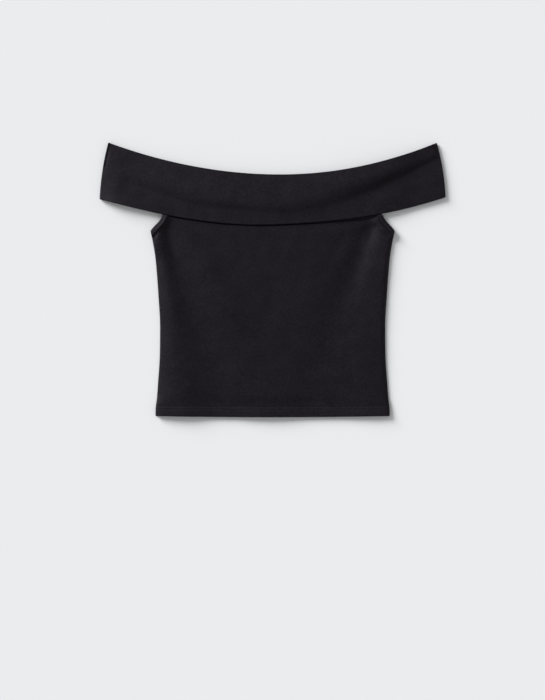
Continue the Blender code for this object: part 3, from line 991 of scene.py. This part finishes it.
def armhole_frames():
    """Points down the armhole's edge and, for each, the direction into the cloth. It is
    square to the edge, but follows the band at the top and the side seam at the bottom,
    and is stretched there so that the strip keeps its width."""
    edge = armhole_edge(BINDING_DIVISIONS, first=1)
    tangent = np.gradient(edge, axis=0)
    inward = unit(np.stack([tangent[:, 1], -tangent[:, 0]], axis=-1))
    along = np.linspace(0, 1, len(edge))[:, None]
    side = unit(np.array([SIDE[1].half_width - SIDE[0].half_width, SIDE[1].y - SIDE[0].y]))
    band = unit(np.array(BAND_WAY))
    to_band = 1 - ease(along, *BAND_BLEND)
    to_side = ease(along, *SIDE_BLEND)
    cross = unit(inward + (band - inward) * to_band + (side - inward) * to_side)
    return edge, cross / np.sum(cross * inward, axis=-1, keepdims=True)


BOUND_EDGE, INTO_CLOTH = armhole_frames()


def binding_lift(reach, side, way):
    """The front left binding stands up along its inner edge, evenly from its fold."""
    return BINDING_LIFT * np.clip(reach / BINDING_WIDTH, 0, 1) * (side < 0 < way)


def build_binding(node, side, height, way):
    """One armhole's strip. side is 1 at +X and -1 at -X; way is 1 on the front panel."""
    inner = even_steps(BINDING_WIDTH - BINDING_RIM, 0.0, BINDING_STEP)
    flat = np.concatenate([BINDING_WIDTH - RIM_STEPS, inner])
    turn = np.linspace(0, np.pi, BINDING_FOLD_STEPS + 1)[1:-1]
    reach = np.concatenate([flat, -PLY_STEP * np.sin(turn), flat[::-1]])[:, None]
    lift = np.concatenate([np.ones(len(flat)), np.cos(turn), -np.ones(len(flat))])[:, None]
    plan = BOUND_EDGE + INTO_CLOTH * reach[..., None]
    on_panel = BOUND_EDGE + INTO_CLOTH * np.clip(reach, 0, None)[..., None]
    groove = STITCH_DRAW * bell(reach - BINDING_WIDTH + BINDING_STITCH_INSET, STITCH_SPREAD)
    outer_ply = np.clip(lift, 0, None) * (binding_lift(reach, side, way) - groove)
    z = height(side * on_panel[..., 0], on_panel[..., 1]) + way * (lift * PLY_STEP + outer_ply)
    strip = np.stack([side * plan[..., 0], plan[..., 1], z], axis=-1)
    grain = (run_lengths(strip, 0), run_lengths(strip, 1))
    return cloth_sheet(node + "_cloth", strip, side * way, grain, BINDING_KNIT)


def steady_front(x, y):
    """Height of the front panel at a binding, without folds: its level and the ridge."""
    return front_level(pile(x, y)) + armhole_ridge(x, y)


def steady_back(x, y):
    """Height of the back panel at a binding."""
    return back_level(pile(x, y))


BOUND_SIDES = [(f"binding_{place}_{hand}", side, height, way)
               for place, height, way in (("front", steady_front, 1), ("back", steady_back, -1))
               for hand, side in (("left", -1), ("right", 1))]
bindings = {row[0]: build_binding(*row) for row in BOUND_SIDES}

# %% [markdown]
# ## Stitching
#
# The hem is sewn with two rows of short straight stitches, 4 mm apart, and each binding with
# one row near its inner edge. There are over five hundred stitches, so each has only a few
# dozen faces, and a row is one mesh: a small arched tube whose ends dive into the cloth,
# copied to every place at once by array sums.

# %% Build the stitches
THREAD = 0.42
STITCH_LENGTH = 2.5
STITCH_PITCH = 2.9
STITCH_RINGS = 7
STITCH_SIDES = 6
STITCH_CAPS = ([0, 5, 4, 3], [0, 3, 2, 1])
STITCH_DEPTH = 0.1
STITCH_ARCH = 0.65
STITCH_TIP = 0.25
HEM_STITCH_INSET = 1.5
HEM_PATH_POINTS = 600
STRANDS = Noise(4200, 2)
THREAD_DARK = (0.012, 0.0108, 0.0142, 1.0)
THREAD_LIGHT = (0.023, 0.021, 0.0265, 1.0)
THREAD_GLOSS = 0.22
THREAD_ROUGHNESS_SPREAD = 0.2


def stitch_row(name, path, up):
    """Stitches along a path of surface points. Each is a tube about a flat-topped arch,
    which falls by the fourth power of the distance from its middle and sinks at its ends."""
    walked = run_lengths(path[None], 1)[0]
    count = int(walked[-1] // STITCH_PITCH)
    middle = (np.arange(count) + 0.5) * STITCH_PITCH

    def at(distance, values):
        return np.stack([np.interp(distance, walked, values[:, k]) for k in range(3)], axis=-1)

    s = np.linspace(-1, 1, STITCH_RINGS)
    centre = at(middle[:, None] + s * STITCH_LENGTH / 2, path)
    up = unit(at(middle, up))[:, None]
    forward = unit(centre[:, -1:] - centre[:, :1])
    aside = np.cross(up, forward)
    centre = centre + up * (THREAD * (-STITCH_DEPTH - STITCH_ARCH * s ** 4))[None, :, None]
    angle = np.linspace(0, 2 * np.pi, STITCH_SIDES, endpoint=False)
    ring = aside[:, :, None] * np.cos(angle)[:, None] + up[:, :, None] * np.sin(angle)[:, None]
    radius = THREAD / 2 * np.clip(1 - s ** 8, STITCH_TIP, 1)
    points = centre[:, :, None] + ring * radius[None, :, None, None]
    index = np.arange(points[..., 0].size).reshape(points.shape[:3])
    near, far = index[:, :-1], index[:, 1:]
    walls = np.stack([near, np.roll(near, -1, axis=2), np.roll(far, -1, axis=2), far], axis=-1)
    caps = [index[:, end][:, quad[::turn]]
            for quad in STITCH_CAPS for end, turn in ((0, 1), (-1, -1))]
    faces = np.concatenate([walls.reshape(-1, 4), *caps])
    print(f"{name}: {count} stitches")
    return mesh_piece(name, points.reshape(-1, 3), faces)


def thread_material():
    """Spun polyester thread: a shade lighter than the knit, with a little more gloss."""
    material, tree, shader = new_material("sewing_thread", {"Specular IOR Level": THREAD_GLOSS})
    where = tree.nodes.new("ShaderNodeTexCoord").outputs["Object"]
    strands = noise(tree, where, STRANDS)
    colour = two_tone(tree, strands, THREAD_DARK, THREAD_LIGHT)
    tree.links.new(colour, shader.inputs["Base Color"])
    rough = scaled(tree, strands, THREAD_ROUGHNESS_SPREAD, ROUGHNESS)
    tree.links.new(rough, shader.inputs["Roughness"])
    return material


THREAD_MATERIAL = thread_material()


def surface_path(x, y, height, way, reach=0.5):
    """Points on a panel's outer face above a line of its plan, and the way up there. The
    slope comes from heights a short reach away on each side."""
    slope_x = (height(x + reach, y) - height(x - reach, y)) / (2 * reach)
    slope_y = (height(x, y + reach) - height(x, y - reach)) / (2 * reach)
    up = way * unit(np.stack([-slope_x, -slope_y, np.ones_like(x)], axis=-1))
    return np.stack([x, y, height(x, y)], axis=-1) + up * CLOTH / 2, up


def hem_stitches(name, height, way):
    """Both rows of a panel's hem, from one side seam to the other, as one piece."""
    rows = []
    for number, above in enumerate(STITCH_ROWS):
        half = half_width(HEM_CORNER + above) - HEM_STITCH_INSET
        x = np.linspace(-half, half, HEM_PATH_POINTS) + number * STITCH_PITCH / 2
        x = x[x < half]
        path, up = surface_path(x, hem_line(x) + above, height, way)
        rows.append(stitch_row(f"{name}_{number}", path, up))
    with bpy.context.temp_override(active_object=rows[0], selected_editable_objects=rows):
        bpy.ops.object.join()
    rows[0].name = rows[0].data.name = name
    return rows[0]


def binding_stitches(node, side, height, way):
    """The row on one binding, above its groove."""
    reach = BINDING_WIDTH - BINDING_STITCH_INSET
    x, y = (BOUND_EDGE + INTO_CLOTH * reach).T
    above = PLY_STEP + CLOTH / 2 - STITCH_DRAW + binding_lift(reach, side, way)
    path = np.stack([side * x, y, height(side * x, y) + way * above], axis=-1)
    up = np.broadcast_to([0.0, 0.0, float(way)], path.shape)
    return stitch_row(node + "_stitches", path[1:-1], up[1:-1])


front_hem = hem_stitches("front_hem_stitches", front_height, way=1)
back_hem = hem_stitches("back_hem_stitches", back_height, way=-1)
binding_rows = {row[0]: binding_stitches(*row) for row in BOUND_SIDES}

for piece in (front_hem, back_hem, *binding_rows.values()):
    piece.data.materials.append(THREAD_MATERIAL)

# %% [markdown]
# ## Floor, light and camera
#
# The photograph is a flat lay on pale grey. One broad light comes low from the upper left and
# draws the folds, and an even sky fills the shadows. The camera looks straight down from far
# away through a long lens, so that nothing leans.

# %% Floor
FLOOR_HALF = 4
FLOOR_DROP = 0.02
corners = np.array([(-1, -1, 0), (1, -1, 0), (1, 1, 0), (-1, 1, 0)]) * FLOOR_HALF / MM
floor = mesh_piece("floor", corners - (0, 0, FLOOR_DROP), np.array([[0, 1, 2, 3]]))
paper = {"Base Color": (0.8, 0.812, 0.83, 1.0), "Roughness": 0.9, "Specular IOR Level": 0.1}
floor.data.materials.append(new_material("pale_surface", paper)[0])

# %% Light
LIGHT_FROM = Vector((-0.64, 0.56, 0.36))
LIGHT_STRENGTH = 4.72
LIGHT_ANGLE = 30
SKY = {"Color": (1.0, 1.0, 1.0, 1.0), "Strength": 0.445}
sun = bpy.data.lights.new("key", "SUN")
sun.energy = LIGHT_STRENGTH
sun.angle = np.radians(LIGHT_ANGLE)
key = bpy.data.objects.new("key", sun)
key.rotation_euler = LIGHT_FROM.to_track_quat("Z", "Y").to_euler()
bpy.context.scene.collection.objects.link(key)

sky = bpy.data.worlds.new("sky")
sky.use_nodes = True
set_inputs(sky.node_tree.nodes["Background"], SKY)
bpy.context.scene.world = sky
bpy.context.scene.view_settings.view_transform = "Standard"

# %% Camera
FRAME_HEIGHT = 1.106
FRAME_CENTRE = (-0.0002, -0.1101)
LENS = 85
SENSOR = 36
camera = bpy.data.objects.new("camera", bpy.data.cameras.new("camera"))
camera.data.lens = LENS
camera.data.sensor_width = SENSOR
camera.location = (*FRAME_CENTRE, FRAME_HEIGHT * LENS / SENSOR)
bpy.context.scene.collection.objects.link(camera)
bpy.context.scene.camera = camera
print("camera height:", round(camera.location.z, 3), "m")

# %% [markdown]
# ## Attach the pieces to the body
#
# Cloth has no joints, so every piece rides on the one body. Each sheet stands for its node,
# which is hidden, and its row in the table lists how large it was cut. The sizes come from the
# cloth areas printed above, and from the length and width of the strip before it was folded.

# %% Riding, replacing and cut sizes
PANEL_CUT = (0.384, 0.350)
BAND_CUT = (0.572, 0.170)
BINDING_CUT = (0.0155, 0.042)
Sheet = namedtuple("Sheet", "piece node slot flat area rests_on stitches")
SHEETS = [
    Sheet(front_panel, "front_panel", "knit", PANEL_CUT, 0.123, [back_panel], [front_hem]),
    Sheet(back_panel, "back_panel", "knit", PANEL_CUT, 0.121, [], [back_hem]),
    Sheet(front_band, "band_front", "knit", BAND_CUT, 0.090, [back_band, front_panel], []),
    Sheet(back_band, "band_back", "knit", BAND_CUT, 0.089, [], []),
]
for node, binding in bindings.items():
    panel = front_panel if "front" in node else back_panel
    SHEETS.append(Sheet(binding, node, "binding_knit", BINDING_CUT, None, [panel],
                        [binding_rows[node]]))

for sheet in SHEETS:
    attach(sheet.piece, "root")
    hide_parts(sheet.node)
    for stitches in sheet.stitches:
        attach(stitches, "root")
